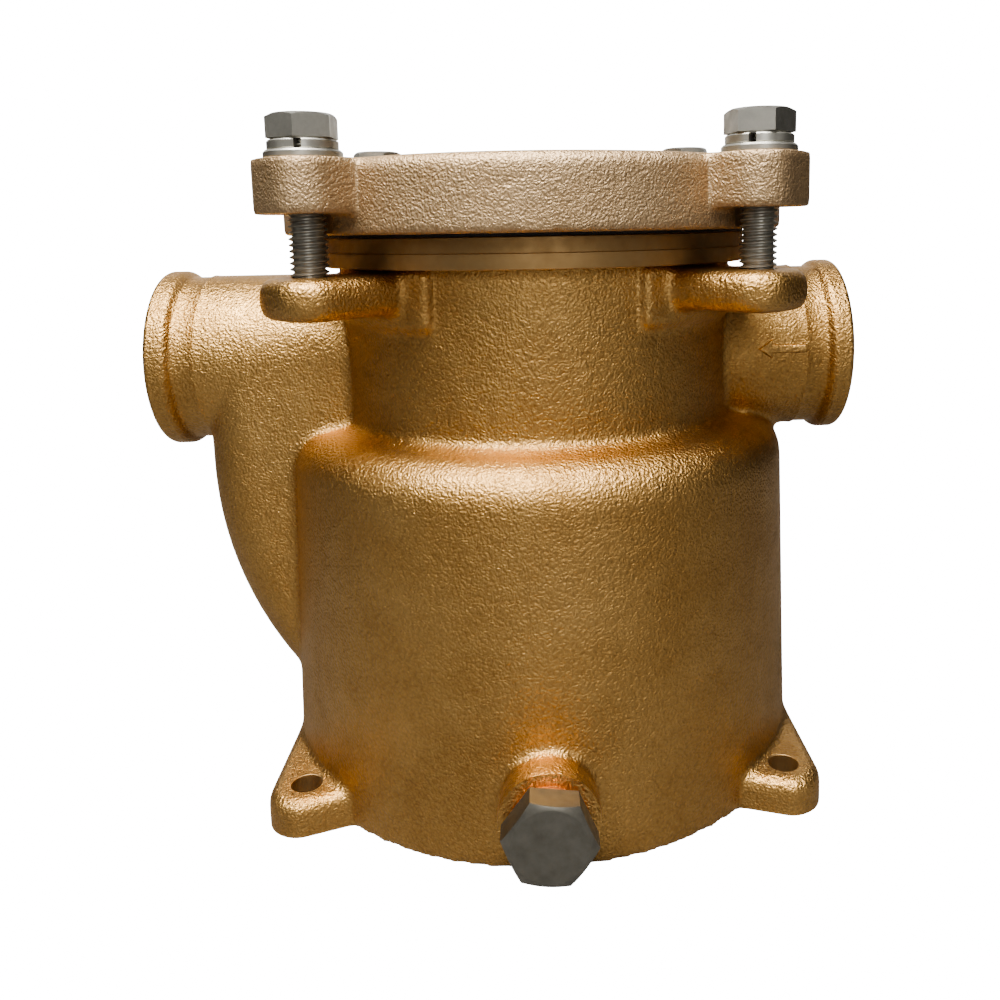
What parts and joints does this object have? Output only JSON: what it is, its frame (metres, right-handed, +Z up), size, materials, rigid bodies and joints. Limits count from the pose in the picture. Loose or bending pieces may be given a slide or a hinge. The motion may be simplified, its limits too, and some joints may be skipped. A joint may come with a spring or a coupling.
{
  "type": "basket strainer",
  "caption": "Cast bronze basket strainer: barrel with bolted cover, inline threaded ports, side passage, lift-out perforated basket and drain plug.",
  "frame": {"origin": "centre of the barrel's flat underside, on the barrel axis", "axes": "+Z up the barrel axis towards the cover, +X out of the inlet port, -Y out of the drain plug"},
  "size_m": [0.1725, 0.1464, 0.1586],
  "materials": {
    "cast_bronze": "shot-blasted as-cast bronze with a fine leathery grain",
    "cover_bronze": "shot-blasted as-cast bronze, duller and pinker than the body",
    "bolt_steel": "stainless steel, satin",
    "basket_steel": "stainless sheet and wire",
    "rubber_seal": "black rubber",
    "copper": "annealed copper"
  },
  "bodies": {
    "housing": {"barrel": "cast_bronze", "neck": "cast_bronze", "inlet_stub": "cast_bronze", "outlet_passage": "cast_bronze"},
    "cover_set": {"cover": "cover_bronze", "cover_gasket": "rubber_seal"},
    "washers_front_left": {"flat_washer_front_left": "bolt_steel", "spring_washer_front_left": "bolt_steel"},
    "bolt_front_left": {"cover_bolt_front_left": "bolt_steel"},
    "washers_front_right": {"flat_washer_front_right": "bolt_steel", "spring_washer_front_right": "bolt_steel"},
    "bolt_front_right": {"cover_bolt_front_right": "bolt_steel"},
    "washers_rear_right": {"flat_washer_rear_right": "bolt_steel", "spring_washer_rear_right": "bolt_steel"},
    "bolt_rear_right": {"cover_bolt_rear_right": "bolt_steel"},
    "washers_rear_left": {"flat_washer_rear_left": "bolt_steel", "spring_washer_rear_left": "bolt_steel"},
    "bolt_rear_left": {"cover_bolt_rear_left": "bolt_steel"},
    "basket": {"basket_shell": "basket_steel", "basket_bottom": "basket_steel", "basket_rim": "basket_steel", "basket_seal": "rubber_seal", "handle_ears": "basket_steel"},
    "handle": {"basket_handle": "basket_steel"},
    "drain_washer_set": {"drain_washer": "copper"},
    "drain_plug_set": {"drain_plug": "bolt_steel"}
  },
  "joints": [
    {"name": "cover_lift", "type": "slide", "parent": "housing", "child": "cover_set", "axis": [0, 0, 1], "range_m": [0, 0.24]},
    {"name": "bolt_out_front_left", "type": "slide", "parent": "cover_set", "child": "washers_front_left", "axis": [0, 0, 1], "range_m": [0, 0.038]},
    {"name": "bolt_turn_front_left", "type": "hinge", "parent": "washers_front_left", "child": "bolt_front_left", "pos_m": [-0.04738, -0.04738, 0.15], "axis": [0, 0, 1], "range_deg": [0, 10945]},
    {"name": "bolt_out_front_right", "type": "slide", "parent": "cover_set", "child": "washers_front_right", "axis": [0, 0, 1], "range_m": [0, 0.038]},
    {"name": "bolt_turn_front_right", "type": "hinge", "parent": "washers_front_right", "child": "bolt_front_right", "pos_m": [0.04738, -0.04738, 0.15], "axis": [0, 0, 1], "range_deg": [0, 10945]},
    {"name": "bolt_out_rear_right", "type": "slide", "parent": "cover_set", "child": "washers_rear_right", "axis": [0, 0, 1], "range_m": [0, 0.038]},
    {"name": "bolt_turn_rear_right", "type": "hinge", "parent": "washers_rear_right", "child": "bolt_rear_right", "pos_m": [0.04738, 0.04738, 0.15], "axis": [0, 0, 1], "range_deg": [0, 10945]},
    {"name": "bolt_out_rear_left", "type": "slide", "parent": "cover_set", "child": "washers_rear_left", "axis": [0, 0, 1], "range_m": [0, 0.038]},
    {"name": "bolt_turn_rear_left", "type": "hinge", "parent": "washers_rear_left", "child": "bolt_rear_left", "pos_m": [-0.04738, 0.04738, 0.15], "axis": [0, 0, 1], "range_deg": [0, 10945]},
    {"name": "basket_lift", "type": "slide", "parent": "housing", "child": "basket", "axis": [0, 0, 1], "range_m": [0, 0.12]},
    {"name": "handle_swing", "type": "hinge", "parent": "basket", "child": "handle", "pos_m": [0, 0, 0.0886], "axis": [-1, 0, 0], "range_deg": [0, 180]},
    {"name": "drain_out", "type": "slide", "parent": "housing", "child": "drain_washer_set", "axis": [0, -1, 0], "range_m": [0, 0.02]},
    {"name": "drain_turn", "type": "hinge", "parent": "drain_washer_set", "child": "drain_plug_set", "pos_m": [0, -0.075, 0.0162], "axis": [0, -1, 0], "range_deg": [0, 4801]}
  ],
  "couplings": [
    {"joint": "bolt_turn_front_left", "follows": "bolt_out_front_left", "rad_per_m": 5026.5},
    {"joint": "bolt_turn_front_right", "follows": "bolt_out_front_right", "rad_per_m": 5026.5},
    {"joint": "bolt_turn_rear_right", "follows": "bolt_out_rear_right", "rad_per_m": 5026.5},
    {"joint": "bolt_turn_rear_left", "follows": "bolt_out_rear_left", "rad_per_m": 5026.5},
    {"joint": "basket_lift", "follows": "cover_lift", "ratio": 0.5},
    {"joint": "drain_turn", "follows": "drain_out", "rad_per_m": 4188.8}
  ]
}
